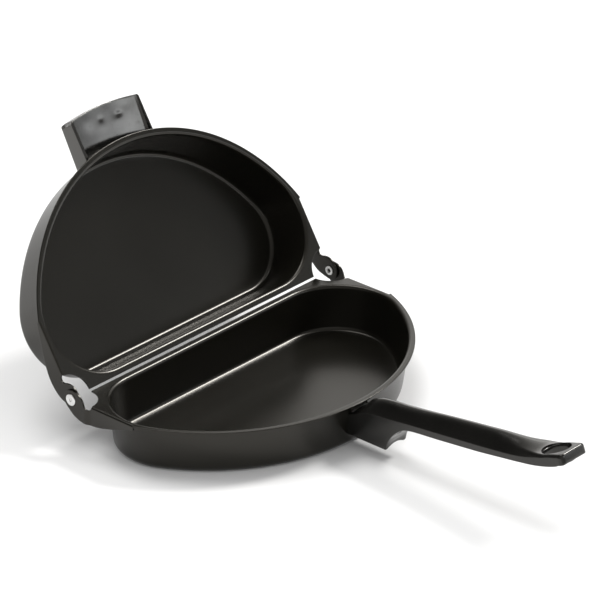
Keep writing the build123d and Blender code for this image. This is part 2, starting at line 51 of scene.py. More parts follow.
# the D of the well at the rim and at the floor: straight side, round side, corner
RIM_D = (5.4, 122.6, 38.0)
FLOOR_D = (6.9, 122.6 - DEPTH * TAPER, 35.5)
WELL_R, WELL_CX = 122.6, 4.4
FLOOR_R, LIP_R, OUTER_R = 3.2, 2.4, 5.6
FL_LINE, FL_R, FL_CX, FOLD_Y, FOLD_R, NOTCH_R, CORNER_X, CORNER_Y = 0.7, 126.1, 5.65, 117.3, 1.4, 15.0, 50.2, 117.75
PI = math.pi

# a half's own axes: x out from the hinge, y along it, third into the well
LOWER = (Vector((HX, 0, HZ)), Vector((1, 0, 0)), Vector((0, 1, 0)), Vector((0, 0, -1)))
UPPER = (Vector((HX, 0, HZ)), Vector((math.cos(OPEN), 0, math.sin(OPEN))), Vector((0, 1, 0)),
         Vector((-math.sin(OPEN), 0, math.cos(OPEN))))


def place(axes, pts):
    """Points (n, 3) in a half's own axes, in mm, to the row frame in metres."""
    o, a, b, c = [np.array(v) for v in axes]
    pts = np.asarray(pts, float)
    return (o + pts[:, :1] * a + pts[:, 1:2] * b + pts[:, 2:3] * c) * 0.001


def unplace(axes, pts):
    o, a, b, c = [np.array(v) for v in axes]
    q = np.asarray(pts, float) * 1000.0 - o
    return np.stack([q @ a, q @ b, q @ c], 1)


def make_object(name, verts, faces, smooth=True, sharp=None):
    """One mesh object from points in metres; normals made to face out."""
    me = bpy.data.meshes.new(name)
    me.from_pydata([tuple(v) for v in verts], [], faces)
    me.validate()
    bm = bmesh.new()
    bm.from_mesh(me)
    bmesh.ops.remove_doubles(bm, verts=bm.verts, dist=2e-6)
    bmesh.ops.dissolve_degenerate(bm, edges=bm.edges, dist=1e-7)
    bmesh.ops.recalc_face_normals(bm, faces=bm.faces)
    bm.to_mesh(me)
    bm.free()
    me.shade_smooth() if smooth else me.shade_flat()
    if sharp is not None:
        me.set_sharp_from_angle(angle=math.radians(sharp))
    ob = bpy.data.objects.new(name, me)
    bpy.context.scene.collection.objects.link(ob)
    return ob


def grid_faces(nu, nv, base=0, close_u=True):
    """Quads of nv rings of nu points each."""
    out = []
    for j in range(nv - 1):
        for i in range(nu if close_u else nu - 1):
            k = (i + 1) % nu
            a = base + j * nu
            out.append((a + i, a + k, a + nu + k, a + nu + i))
    return out


# ------------------------------------------------------------------ D outlines
def d_curve(line, radius, corner, n_arc=420, n_cor=90, n_line=60):
    """Outline of the well at one depth, with its outward normals, going round from the middle of the round side."""
    r = radius - corner
    ccx = line + corner
    ccy = math.sqrt(r * r - (ccx - WELL_CX) ** 2)
    a1 = math.atan2(ccy, ccx - WELL_CX)
    pts, nrm = [], []
    for t in np.linspace(0, a1, n_arc // 2, endpoint=False):
        nrm.append((math.cos(t), math.sin(t)))
        pts.append((WELL_CX + radius * math.cos(t), radius * math.sin(t)))
    for t in np.linspace(a1, PI, n_cor, endpoint=False):
        nrm.append((math.cos(t), math.sin(t)))
        pts.append((ccx + corner * math.cos(t), ccy + corner * math.sin(t)))
    for t in np.linspace(ccy, -ccy, n_line, endpoint=False):
        nrm.append((-1.0, 0.0))
        pts.append((line, t))
    for t in np.linspace(PI, 2 * PI - a1, n_cor, endpoint=False):
        nrm.append((math.cos(t), math.sin(t)))
        pts.append((ccx + corner * math.cos(t), -ccy + corner * math.sin(t)))
    for t in np.linspace(2 * PI - a1, 2 * PI, n_arc // 2, endpoint=False):
        nrm.append((math.cos(t), math.sin(t)))
        pts.append((WELL_CX + radius * math.cos(t), radius * math.sin(t)))
    return np.array(pts), np.array(nrm)


CENTRE = np.array([50.0, 0.0])


def polar_of(p):
    q = p - CENTRE
    return np.mod(np.arctan2(q[:, 1], q[:, 0]), 2 * PI)


def flange_outline():
    """Outer outline of the flange, going round from the middle of the round side. The folded sides stop at the bend."""
    yb = FOLD_Y - FOLD_R
    a0 = math.asin(CORNER_Y / FL_R)
    half, kind = [], []
    for t in np.linspace(0, a0, 230):
        half.append((FL_CX + FL_R * math.cos(t), FL_R * math.sin(t)))
        kind.append(0)
    # small step in from the flange's corner to the folded ear
    for q in ((50.62, 117.86), (50.42, 117.8), (50.29, 117.6), (50.21, 117.3), (50.18, 116.6)):
        half.append(q)
        kind.append(0)
    fx = 50.15
    cy = FOLD_Y - 0.3
    xn = math.sqrt(NOTCH_R ** 2 - (yb - cy) ** 2)
    for x in np.linspace(fx, xn, 34)[1:-1]:
        half.append((x, yb))
        kind.append(1)
    t0 = math.atan2(yb - cy, xn)
    t1 = -math.acos(FL_LINE / NOTCH_R)
    for t in np.linspace(t0, t1, 30):
        half.append((NOTCH_R * math.cos(t), cy + NOTCH_R * math.sin(t)))
        kind.append(0)
    y1 = half[-1][1]
    for y in np.linspace(y1, 0, 40)[1:]:
        half.append((FL_LINE, y))
        kind.append(0)
    other = [(x, -y) for x, y in reversed(half[1:-1])]
    okind = list(reversed(kind[1:-1]))
    return np.array(half + other), np.array(kind + okind)


def arc(cx, cy, r, t0, t1, n):
    return [(cx + r * math.cos(t), cy + r * math.sin(t)) for t in np.linspace(t0, t1, n)]


def well_profile(tau, grow, depth, floor_r, lip_r):
    """Rings (inset, depth) from the rim plane down the tapered wall and round onto the floor; tau is the wall's taper."""
    ang = np.arctan(tau)
    pts = []
    if lip_r:
        # round between the rim plane and the wall, on the metal side of the wall
        h = lip_r * np.tan((PI / 2 - ang) / 2)
        for q in np.linspace(0, 1, 12):
            t = (PI / 2 - ang) * q
            pts.append((-grow - h + lip_r * np.sin(t), lip_r - lip_r * np.cos(t)))
    fd = depth - floor_r
    # centre of the floor round lies floor_r inside both the wall and the floor
    cx = fd * tau - grow + floor_r / np.cos(ang)
    start = (cx - floor_r * np.cos(ang), fd + floor_r * np.sin(ang))
    top = pts[-1] if pts else (-grow + 0 * tau, 0 * tau)
    for t in np.linspace(0, 1, 8)[1:-1]:
        pts.append((top[0] + (start[0] - top[0]) * t, top[1] + (start[1] - top[1]) * t))
    for q in np.linspace(0, 1, 16):
        t = ang + (PI / 2 - ang) * q
        pts.append((cx - floor_r * np.cos(t), fd + floor_r * np.sin(t)))
    return pts


def shell_mesh(name, axes, shift):
    out, kind = flange_outline()
    n = len(out)
    base, nrm = d_curve(*RIM_D)
    vel = (d_curve(*FLOOR_D)[0] - base) / DEPTH
    th = polar_of(base)
    order = np.argsort(th)
    th_s = th[order]
    th_e = np.concatenate([th_s[-1:] - 2 * PI, th_s, th_s[:1] + 2 * PI])
    tq = polar_of(out)

    def along(values):
        v = values[order]
        v = np.concatenate([v[-1:], v, v[:1]])
        return np.stack([np.interp(tq, th_e, v[:, i]) for i in (0, 1)], 1)

    bx, nx, vx = along(base), along(nrm), along(vel)
    nx /= np.linalg.norm(nx, axis=1)[:, None]
    tau = -(vx * nx).sum(1)
    slide = vx + tau[:, None] * nx
    rings = []

    def ring(xy, d):
        rings.append(np.column_stack([xy, np.full(n, GAP + d) if np.isscalar(d) else GAP + d]))

    def wall_ring(inset, d):
        inset, d = inset + 0 * tau, d + 0 * tau
        ring(bx - nx * inset[:, None] + slide * d[:, None], d)

    inner = well_profile(tau, 0.0, DEPTH, FLOOR_R, LIP_R)
    outer = well_profile(tau, SHEET, DEPTH + SHEET, OUTER_R, 0)
    lip_xy = bx - nx * inner[0][0][:, None]
    to_in = lip_xy - out
    to_in /= np.linalg.norm(to_in, axis=1)[:, None]
    free = (kind == 0)[:, None]
    e = 0.38
    # outside of the well, from the floor up to the flange
    wall_ring(outer[-1][0] + 0.8, DEPTH + SHEET)
    for inset, d in outer[:0:-1]:
        wall_ring(inset, d)
    # small round under the flange
    rr = 0.8
    for t in np.linspace(0, 1, 5):
        a = t * PI / 2
        wall_ring((SHEET + rr) * tau - SHEET - rr * (1 - math.cos(a)), SHEET + rr - rr * math.sin(a))
    ring(out + to_in * e, SHEET)
    for t in (0.35, 0.7, 1.0):
        a = t * PI / 2
        ring(out + to_in * e * (1 - math.sin(a)) * free, SHEET - e * (1 - math.cos(a)) * free[:, 0])
    for t in (0.0, 0.3, 0.65):
        a = t * PI / 2
        ring(out + to_in * e * (1 - math.cos(a)) * free, e * (1 - math.sin(a)) * free[:, 0])
    ring(out + to_in * e * free, 0.0)
    ring(out + to_in * (e + 0.25), 0.0)
    wall_ring(inner[0][0] - 0.3, 0.0)
    for inset, d in inner:
        wall_ring(inset, d)
    wall_ring(inner[-1][0] + 0.8, DEPTH)
    wall_ring(inner[-1][0] + 2.5, DEPTH)
    verts = np.concatenate(rings)
    faces = grid_faces(n, len(rings))
    last = (len(rings) - 1) * n
    faces.append(tuple(range(n)))
    faces.append(tuple(last + i for i in range(n)))
    return make_object(name, place(axes, verts), faces)


# ------------------------------------------------------------------ folded ears
EAR_LOW = [(-1.2, 7.5), (2.2, 10.2), (5.7, 11.7), (9.4, 12.6), (15.5, 13.0), (22.6, 12.0),
           (30.2, 10.0), (38.1, 7.4), (44.4, 5.3), (CORNER_X, 3.4)]
EAR_TOP = [(4.4, -5.7), (7.2, -4.3), (9.2, -1.9), (10.2, 0.6)]
TONGUE_R = 6.3


def spline(points, start, end, n):
    """Smooth curve through points with given end directions (cubic Hermite on chord lengths)."""
    p = np.array(points, float)
    d = np.linalg.norm(np.diff(p, axis=0), axis=1)
    t = np.concatenate([[0], np.cumsum(d)])
    m = np.zeros_like(p)
    for i in range(1, len(p) - 1):
        m[i] = ((p[i] - p[i - 1]) / d[i - 1] * d[i] + (p[i + 1] - p[i]) / d[i] * d[i - 1]) / (d[i - 1] + d[i])
    m[0] = np.array(start, float) / np.linalg.norm(start)
    m[-1] = np.array(end, float) / np.linalg.norm(end)
    out = []
    for s in np.linspace(0, t[-1], n):
        i = min(max(np.searchsorted(t, s, side="right") - 1, 0), len(p) - 2)
        u = (s - t[i]) / d[i]
        h = d[i]
        out.append((2 * u ** 3 - 3 * u ** 2 + 1) * p[i] + (u ** 3 - 2 * u ** 2 + u) * h * m[i]
                   + (-2 * u ** 3 + 3 * u ** 2) * p[i + 1] + (u ** 3 - u ** 2) * h * m[i + 1])
    return np.array(out)


def ear_outline():
    """Lower and upper edge of an ear, both from the far end of the round tongue, x growing."""
    a, b = math.radians(72), math.radians(135)
    low = spline([(TONGUE_R * math.cos(b), TONGUE_R * math.sin(b))] + EAR_LOW, (math.sin(b), -math.cos(b)), (1, -0.3), 110)
    low_end = [(TONGUE_R * math.cos(t), TONGUE_R * math.sin(t)) for t in np.linspace(PI, b, 18)]
    top = spline([(TONGUE_R * math.cos(a), -TONGUE_R * math.sin(a))] + EAR_TOP, (math.sin(a), math.cos(a)), (0.2, 1), 30)
    top_end = [(TONGUE_R * math.cos(t), TONGUE_R * math.sin(t)) for t in np.linspace(PI, 2 * PI - a, 34)]
    return np.concatenate([low_end, low[1:]]), np.concatenate([top_end, top[1:]])


def jog(x, shift):
    """Outward set of an ear at distance x from the pivot."""
    t = min(max((15.4 - x) / 5.1, 0.0), 1.0)
    return shift * t * t * (3 - 2 * t)


def ear_mesh(name, axes, side, shift):
    """Closed sheet: columns across x, each from the top edge (or the bend) down to the lower edge."""
    low_c, top_c = ear_outline()
    rel = [(12.85 + 2.55 * math.cos(t), 0.6 + 2.5 * math.sin(t)) for t in np.linspace(PI - 0.05, 0.06, 16)]
    top_c = np.concatenate([top_c, np.array(rel)[1:]])
    lx = low_c[:, 0]
    tx = top_c[:, 0]
    xs = list(-TONGUE_R * np.cos(np.linspace(0, PI / 2, 16)))
    xs += list(np.linspace(0.2, 10.25, 26)) + list(np.linspace(10.4, 15.3, 26)) + list(np.linspace(15.5, CORNER_X, 46))
    xs[0] = -TONGUE_R + 0.004
    rows_n = 12
    er = 0.28
    y_out, y_in = FOLD_Y, FOLD_Y - SHEET
    verts, cols = [], []
    for x in xs:
        lo = float(np.interp(x, lx, low_c[:, 1]))
        fold = x > 15.4
        hi = 0.0 if fold else float(np.interp(x, tx, top_c[:, 1]))
        s = jog(x, shift)
        loop = []
        # outer face downwards, lower edge, inner face upwards, top edge or bend
        e = min(er, max((lo - hi) * 0.45, 0.002))
        if fold:
            for t in np.linspace(0, PI / 2, 9):
                loop.append((y_out - FOLD_R + FOLD_R * math.sin(t), GAP + FOLD_R - FOLD_R * math.cos(t)))
            y_first = GAP + FOLD_R
        else:
            loop += [(y_out - e + e * math.sin(t), hi + e - e * math.cos(t)) for t in np.linspace(0, PI / 2, 9)]
            y_first = hi + e
        for t in np.linspace(0, 1, rows_n + 1)[1:-1]:
            loop.append((y_out, y_first + (lo - e - y_first) * t))
        loop += [(y_out - e + e * math.cos(t), lo - e + e * math.sin(t)) for t in np.linspace(0, PI / 2, 4)]
        loop += [(y_in + e - e * math.sin(t), lo - e + e * math.cos(t)) for t in np.linspace(0, PI / 2, 4)]
        y_last = (GAP + FOLD_R) if fold else hi + e
        for t in np.linspace(0, 1, rows_n + 1)[1:-1]:
            loop.append((y_in, lo - e + (y_last - lo + e) * t))
        if fold:
            ri = FOLD_R - SHEET
            loop += [(y_in - ri + ri * math.cos(t), GAP + FOLD_R - ri * math.sin(t)) for t in np.linspace(0, PI / 2, 4)]
        else:
            loop += [(y_in + e - e * math.cos(t), hi + e - e * math.sin(t)) for t in np.linspace(0, PI / 2, 4)]
        cols.append([(x, side * (y + s), d) for y, d in loop])
    nu = len(cols[0])
    for c in cols:
        verts += c
    faces = grid_faces(nu, len(cols))
    faces.append(tuple(range(nu)))
    faces.append(tuple((len(cols) - 1) * nu + i for i in range(nu)))
    return make_object(name, place(axes, verts), faces, sharp=50)


def join(objs, name):
    """Merge several meshes into the first."""
    bm = bmesh.new()
    for o in objs:
        bm.from_mesh(o.data)
    me = bpy.data.meshes.new(name)
    bm.to_mesh(me)
    bm.free()
    for o in objs:
        bpy.data.objects.remove(o)
    me.shade_smooth()
    me.set_sharp_from_angle(angle=math.radians(50))
    ob = bpy.data.objects.new(name, me)
    bpy.context.scene.collection.objects.link(ob)
    return ob


def pan_half(name, axes, shift, body, node):
    parts = [shell_mesh(name + "_a", axes, shift), ear_mesh(name + "_b", axes, 1, shift), ear_mesh(name + "_c", axes, -1, shift)]
    ob = join(parts, name)
    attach(ob, body)
    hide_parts(node)
    return ob


# ------------------------------------------------------------------ rivets
def lathe(name, profile, centre, seg=72):
    """Closed solid of revolution about the hinge axis; profile is (radius, y) in mm."""
    verts, faces = [], []
    n = len(profile)
    for k in range(seg):
        a = 2 * PI * k / seg
        for r, y in profile:
            verts.append(((centre[0] + r * math.cos(a)) * 0.001, y * 0.001, (centre[1] + r * math.sin(a)) * 0.001))
    for k in range(seg):
        k2 = (k + 1) % seg
        for i in range(n - 1):
            faces.append((k * n + i, k * n + i + 1, k2 * n + i + 1, k2 * n + i))
    return make_object(name, verts, faces, sharp=40)


def rivet(name, side, node):
    head = FOLD_Y + 1.45
    ring = FOLD_Y - SHEET - 0.1
    top = head + 0.75
    bore = ring - 0.65
    p = [(0.0, top - 0.62), (0.6, top - 0.62), (0.86, top - 0.5)]
    p += [(1.12 - 0.14 * math.cos(t), top - 0.14 + 0.14 * math.sin(t)) for t in np.linspace(0, PI / 2, 4)]
    p += [(1.5, top + 0.0), (2.4, top - 0.03)]
    p += [(3.38 + 0.42 * math.sin(t), top - 0.47 + 0.42 * math.cos(t)) for t in np.linspace(0, PI / 2, 7)]
    p += [(3.8, head + 0.08), (3.72, head), (2.4, head), (2.4, ring), (2.95, ring), (3.05, ring - 0.1)]
    p += [(2.73 + 0.32 * math.cos(t), bore + 0.32 - 0.32 * math.sin(t)) for t in np.linspace(0, PI / 2, 6)]
    p += [(2.2, bore - 0.0), (1.8, bore + 0.05)]
    p += [(1.3 + 0.42 - 0.42 * math.sin(t), bore + 0.5 - 0.42 * math.cos(t)) for t in np.linspace(0.2, PI / 2, 5)]
    p += [(1.3, bore + 2.9), (1.15, bore + 3.1), (0.0, bore + 3.3)]
    ob = lathe(name, [(r, side * y) for r, y in p], (HX, HZ))
    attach(ob, "lower")
    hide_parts(node)
    return ob


# ------------------------------------------------------------------ long handle
CROWN = [(116.0, -14.0, -13.0, 0.0, 12.0), (124.0, -9.6, -8.2, 0.0, 12.0), (129.0, -6.9, -5.3, 0.0, 12.0),
         (131.5, -5.7, -4.0, 0.0, 12.0), (133.0, -4.9, -2.7, 0.0, 12.0), (135.0, -3.9, -0.6, 0.0, 12.0),
         (137.5, -2.8, 2.59, 0.0, 11.0), (141.0, -1.7, 4.59, 0.0, 10.0), (145.0, -1.0, 5.97, 0.0, 9.0),
         (150.0, -0.6, 6.85, 0.0, 8.0), (157.0, 0.0, 7.59, 0.0, 7.2), (164.0, 0.9, 8.19, 0.0, 6.8),
         (172.0, 2.0, 9.12, 0.0, 6.5), (182.0, 3.1, 10.52, 0.0, 6.5), (195.0, 4.5, 12.53, 0.0, 6.5),
         (210.0, 6.35, 14.64, 0.0, 6.5), (225.0, 8.25, 16.57, 0.0, 6.5), (240.0, 10.35, 18.3, 0.04, 6.5),
         (252.0, 12.1, 18.9, 0.16, 6.5), (260.0, 13.5, 19.0, 0.4, 6.5), (267.0, 15.0, 19.1, 0.72, 6.5),
         (275.0, 17.2, 20.0, 0.96, 6.5), (283.0, 19.9, 22.15, 1.0, 6.5), (291.0, 22.5, 24.9, 1.0, 6.5),
         (300.0, 26.0, 28.2, 1.0, 6.5)]
ARCH = [(156.0, -22.0), (156.8, -18.0), (158.3, -14.6), (161.4, -10.2), (165.5, -6.3), (171.0, -3.2)]
UNDER = [(171.0, -3.2), (176.0, -2.1), (182.0, -1.4), (190.0, -0.65), (198.0, 0.2), (206.0, 1.2),
         (214.0, 2.2), (230.0, 4.4), (247.0, 7.2), (260.0, 9.3), (272.0, 11.6), (284.0, 15.3), (292.4, 19.1)]


def pchip(xs, ys):
    """Monotone cubic through a table."""
    xs, ys = np.array(xs, float), np.array(ys, float)
    h = np.diff(xs)
    d = np.diff(ys) / h
    m = np.zeros(len(xs))
    for i in range(1, len(xs) - 1):
        if d[i - 1] * d[i] > 0:
            w1, w2 = 2 * h[i] + h[i - 1], h[i] + 2 * h[i - 1]
            m[i] = (w1 + w2) / (w1 / d[i - 1] + w2 / d[i])
    m[0], m[-1] = d[0], d[-1]

    def f(x):
        i = int(min(max(np.searchsorted(xs, x, side="right") - 1, 0), len(xs) - 2))
        u = (x - xs[i]) / h[i]
        return ((2 * u ** 3 - 3 * u ** 2 + 1) * ys[i] + (u ** 3 - 2 * u ** 2 + u) * h[i] * m[i]
                + (-2 * u ** 3 + 3 * u ** 2) * ys[i + 1] + (u ** 3 - u ** 2) * h[i] * m[i + 1])
    return f


f_crease = pchip([c[0] for c in CROWN], [c[1] for c in CROWN])
f_crest = pchip([c[0] for c in CROWN], [c[2] for c in CROWN])
f_flat = pchip([c[0] for c in CROWN], [c[3] for c in CROWN])
f_soft = pchip([c[0] for c in CROWN], [c[4] for c in CROWN])


def half_width(x):
    t = min(max((x - 185.0) / 90.0, 0.0), 1.0)
    return 9.5 + 2.0 * t * t * (3 - 2 * t)


def wall_x(y, z, grow):
    """Outside of the lower well's round wall at height z from the rim plane."""
    r = WELL_R + grow + z * TAPER
    return WELL_CX + math.sqrt(r * r - y * y)


def top_points(x, n=44):
    """Right half of the top: from the crease up to the crest, as (y, z)."""
    hw, zc, zt, fl = half_width(x), f_crease(x), f_crest(x), min(max(f_flat(x), 0.0), 1.0)
    h = max(zt - zc, 0.3)
    soft = f_soft(x)
    slope = math.sqrt((h + soft) ** 2 - soft ** 2) / hw
    out = []
    rc = 2.4
    for s in np.linspace(0, 1, n):
        # two flanks that meet in a soft ridge
        cy = hw * (1 - s) ** (1.0 + 0.5 * (1.0 - fl))
        cz = zt + soft - math.hypot(soft, slope * cy)
        # flat top with a rounded shoulder
        if s < 0.36:
            b = s / 0.36 * PI / 2
            fy, fz = hw - rc + rc * math.cos(b), zc + (h - 0.12) * math.sin(b)
        else:
            q = (s - 0.36) / 0.64
            fy = (hw - rc) * (1 - q)
            fz = zt - 0.12 + 0.12 * (1 - (fy / (hw - rc)) ** 2)
        out.append((cy + (fy - cy) * fl, cz + (fz - cz) * fl))
    return out


def section(x, zb, lift, inset=0.0):
    """Closed outline of the handle across x: (y, z), starting at the right crease and going over the top."""
    hw = half_width(x)
    top = top_points(x)
    zc = f_crease(x)
    # soften the crease a little
    side_top = zc - 0.45
    loop = [(hw, side_top), (hw - 0.02, zc - 0.2)]
    loop += [(y, z) for y, z in top[1:]]
    loop += [(-y, z) for y, z in reversed(top[1:-1])]
    loop += [(-hw + 0.02, zc - 0.2), (-hw, side_top)]
    rb = 0.9
    for t in np.linspace(0, 1, 7)[1:-1]:
        loop.append((-hw, side_top + (zb + rb - side_top) * t))
    loop += [(-hw + rb - rb * math.cos(t), zb + rb - rb * math.sin(t)) for t in np.linspace(0, PI / 2, 5)]
    ys = np.linspace(-hw + rb, hw - rb, 17)[1:-1]
    for y in ys:
        q = min(abs(y) / 7.3, 1.0)
        loop.append((y, zb + 2.0 * lift * (1 - q * q)))
    loop += [(hw - rb + rb * math.sin(t), zb + rb - rb * math.cos(t)) for t in np.linspace(0, PI / 2, 5)]
    for t in np.linspace(0, 1, 7)[1:-1]:
        loop.append((hw, zb + rb + (side_top - zb - rb) * t))
    return loop


def handle_mesh():
    # stations: x, underside z, arch lift
    arch = spline(ARCH, (0.12, 1), (1, 0.34), 60)
    st = [(x, -22.0) for x in list(np.linspace(127.0, 133.0, 9)) + list(np.linspace(133.6, 155.3, 40))]
    st += [(155.6, -21.96), (155.85, -21.8), (156.0, -21.5)]
    st += [(float(x), float(z)) for x, z in arch if z > -21.2]
    under = spline(UNDER, (1, 0.34), (0.93, 0.363), 150)
    st += [(float(x), float(z)) for x, z in under[1:] if x < 287.2]
    st = sorted(st)
    rows = []
    for x, zb in st:
        lift = min(max((-16.0 - zb) / 6.0, 0.0), 1.0)
        loop = section(max(x, 127.0), zb, lift)
        pts = []
        for y, z in loop:
            px = x
            if x < 133.0:
                w = wall_x(y, min(z, -1.3), SHEET) + 0.12
                px = w + (x - 127.0) / 6.0 * (133.0 - w)
            pts.append((px, y, z))
        rows.append(pts)
    # rounded end: the end face leans back from vertical
    def end_row(q):
        """Row at distance q before the end, pulled in from the outline by the end's rounding."""
        x0 = UNDER[-1][0] - 0.932 * q
        zb = UNDER[-1][1] - 0.363 * q
        zt = f_crest(x0)
        hm, zm, hh = half_width(x0), 0.5 * (zb + zt), 0.5 * (zt - zb)
        iy = 3.2 - math.sqrt(3.2 ** 2 - (3.2 - q) ** 2) if q < 3.2 else 0.0
        iz = 1.1 - math.sqrt(1.1 ** 2 - (1.1 - q) ** 2) if q < 1.1 else 0.0
        pts = []
        for y, z in section(x0, zb, 0.0):
            zz = zm + (z - zm) * (1 - iz / hh)
            pts.append((x0 - (zz - zb) * 0.39, y * (1 - iy / hm), zz))
        return pts

    # shear the last rows smoothly so that they stand square to the tip
    sheared = []
    for pts, (x, zb) in zip(rows, st):
        k = min(max((x - 270.0) / 16.0, 0.0), 1.0)
        k = k * k * (3 - 2 * k)
        sheared.append([(px - (z - zb) * 0.39 * k, y, z) for px, y, z in pts])
    rows = sheared
    for q in [5.0, 4.4, 3.8, 3.2] + [3.2 * (1 - math.sin(a)) for a in np.linspace(0, PI / 2, 13)][1:]:
        rows.append(end_row(q))
    nu = len(rows[0])
    verts = np.array([p for r in rows for p in r])
    verts[:, 0] += HX
    verts[:, 2] += RIM_Z
    faces = grid_faces(nu, len(rows))
    faces.append(tuple(range(nu)))
    faces.append(tuple((len(rows) - 1) * nu + i for i in range(nu)))
    return make_object("handle_body", verts * 0.001, faces)


def rounded_polygon(pts, radii, seg=8):
    """Polygon with rounded corners, as a list of points."""
    out = []
    n = len(pts)
    for i in range(n):
        p0, p1, p2 = np.array(pts[i - 1]), np.array(pts[i]), np.array(pts[(i + 1) % n])
        a, b = p0 - p1, p2 - p1
        la, lb = np.linalg.norm(a), np.linalg.norm(b)
        a, b = a / la, b / lb
        half = math.acos(max(-1, min(1, float(a @ b)))) / 2
        t = min(radii[i] / math.tan(half), la * 0.49, lb * 0.49)
        r = t * math.tan(half)
        c = p1 + (a + b) / np.linalg.norm(a + b) * r / math.sin(half)
        s, e = p1 + a * t - c, p1 + b * t - c
        a0, a1 = math.atan2(s[1], s[0]), math.atan2(e[1], e[0])
        d = (a1 - a0 + PI) % (2 * PI) - PI
        out += [(c[0] + r * math.cos(a0 + d * k / seg), c[1] + r * math.sin(a0 + d * k / seg)) for k in range(seg + 1)]
    return out


def frame_points(pts3, origin, x_dir, y_dir, z_dir):
    o, a, b, c = [np.array(v, float) for v in (origin, x_dir, y_dir, z_dir)]
    p = np.asarray(pts3, float)
    return (o + p[:, :1] * a + p[:, 1:2] * b + p[:, 2:3] * c) * 0.001


TIP_FRAME = ((HX + 278.5, 0, RIM_Z + 20.5), (0.951, 0, 0.309), (0, 1, 0), (-0.309, 0, 0.951))
HANG = [(-8.2, 0.0), (-7.3, 4.6), (-4.2, 7.9), (0.4, 8.9), (4.6, 7.4), (7.7, 4.2),
        (9.0, 0.0), (7.7, -4.2), (4.6, -7.4), (0.4, -8.9), (-4.2, -7.9), (-7.3, -4.6)]


def closed_curve(points, per=7):
    """Smooth closed curve through points (uniform cubic)."""
    p = np.array(points, float)
    n = len(p)
    out = []
    for i in range(n):
        p0, p1, p2, p3 = p[i - 1], p[i], p[(i + 1) % n], p[(i + 2) % n]
        for u in np.linspace(0, 1, per, endpoint=False):
            out.append(0.5 * (2 * p1 + (p2 - p0) * u + (2 * p0 - 5 * p1 + 4 * p2 - p3) * u * u
                              + (3 * p1 - p0 - 3 * p2 + p3) * u ** 3))
    return np.array(out)


def prism(name, outline, z0, z1, fr):
    n = len(outline)
    v = [(x, y, z0) for x, y in outline] + [(x, y, z1) for x, y in outline]
    f = [tuple(range(n)), tuple(range(2 * n - 1, n - 1, -1))] + [(i, (i + 1) % n, n + (i + 1) % n, n + i) for i in range(n)]
    return make_object(name, frame_points(v, *fr), f, smooth=False)


def cut(ob, cutter, op="DIFFERENCE"):
    """Boolean, applied at once."""
    mod = ob.modifiers.new("cut", "BOOLEAN")
    mod.operation = op
    mod.solver = "EXACT"
    mod.object = cutter
    dg = bpy.context.evaluated_depsgraph_get()
    me = bpy.data.meshes.new_from_object(ob.evaluated_get(dg))
    ob.modifiers.clear()
    old = ob.data
    ob.data = me
    bpy.data.meshes.remove(old)
    bpy.data.objects.remove(cutter)


def offset_outline(outline, d):
    """Outline moved outwards by d."""
    p = np.array(outline)
    n = len(p)
    out = []
    for i in range(n):
        t = p[(i + 1) % n] - p[i - 1]
        t = t / max(np.linalg.norm(t), 1e-9)
        out.append(p[i] + d * np.array([t[1], -t[0]]))
    return np.array(out)


def build_handle():
    ob = handle_mesh()
    hole = closed_curve(HANG)[::-1]
    cut(ob, prism("hole_cutter", [tuple(p) for p in offset_outline(hole, 0.35)], -14, 8, TIP_FRAME))
    box = rounded_polygon([(-9.5, -6.8), (9.5, -6.8), (9.5, 6.8), (-9.5, 6.8)], [2.0] * 4)
    cut(ob, prism("recess_cutter", box, -6, 4.8, ((HX + 143, 0, RIM_Z - 22), (1, 0, 0), (0, 1, 0), (0, 0, 1))))
    cut(ob, prism("screw_cutter", [(2.1 * math.cos(t), 2.1 * math.sin(t)) for t in np.linspace(0, 2 * PI, 25)[:-1]],
                  0, 11.2, ((HX + 143, 0, RIM_Z - 18.4), (1, 0, 0), (0, 1, 0), (0, 0, 1))))
    # rolled rim that lines the hole
    n = len(hole)
    prof = []
    top_z, bot_z = 0.2, -6.8
    for t in np.linspace(0, PI, 9):
        prof.append((0.55 - 0.55 * math.cos(t) - 0.0, top_z - 0.5 + 0.5 * math.sin(t)))
    prof = [(0.0, bot_z + 0.4), (0.0, top_z - 1.4)] + [(0.75 - 0.75 * math.cos(t), top_z - 0.75 + 0.75 * math.sin(t)) for t in np.linspace(0, PI, 11)]
    prof += [(1.5, top_z - 1.4), (1.5, bot_z + 0.4), (1.2, bot_z + 0.1), (0.3, bot_z + 0.1)]
    verts = []
    for o, z in prof:
        for p in offset_outline(hole, o):
            verts.append((p[0], p[1], z))
    faces = []
    m = len(prof)
    for j in range(m):
        j2 = (j + 1) % m
        for i in range(n):
            k = (i + 1) % n
            faces.append((j * n + i, j * n + k, j2 * n + k, j2 * n + i))
    ring = make_object("hole_rim", frame_points(verts, *TIP_FRAME), faces, sharp=50)
    ob = join([ob, ring], "long_handle_body")
    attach(ob, "lower")
    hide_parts("long_handle")
    return ob


# ------------------------------------------------------------------ short grip
GRIP_TOP = 4.6
GRIP_END = 155.6


def grip_floor(x):
    return 8.7 + (154.0 - x) * 0.078


def grip_rise(y):
    """How much shallower the recessed face is beside the walls than in the middle."""
    t = max((abs(y) - 7.0) / (21.8 if y > 0 else 20.7), 0.0)
    return (3.4 if y > 0 else 2.5) * t * t * (1.5 - 0.5 * t)


def grip_back(x):
    return 15.1 + (154.0 - x) * 0.0759


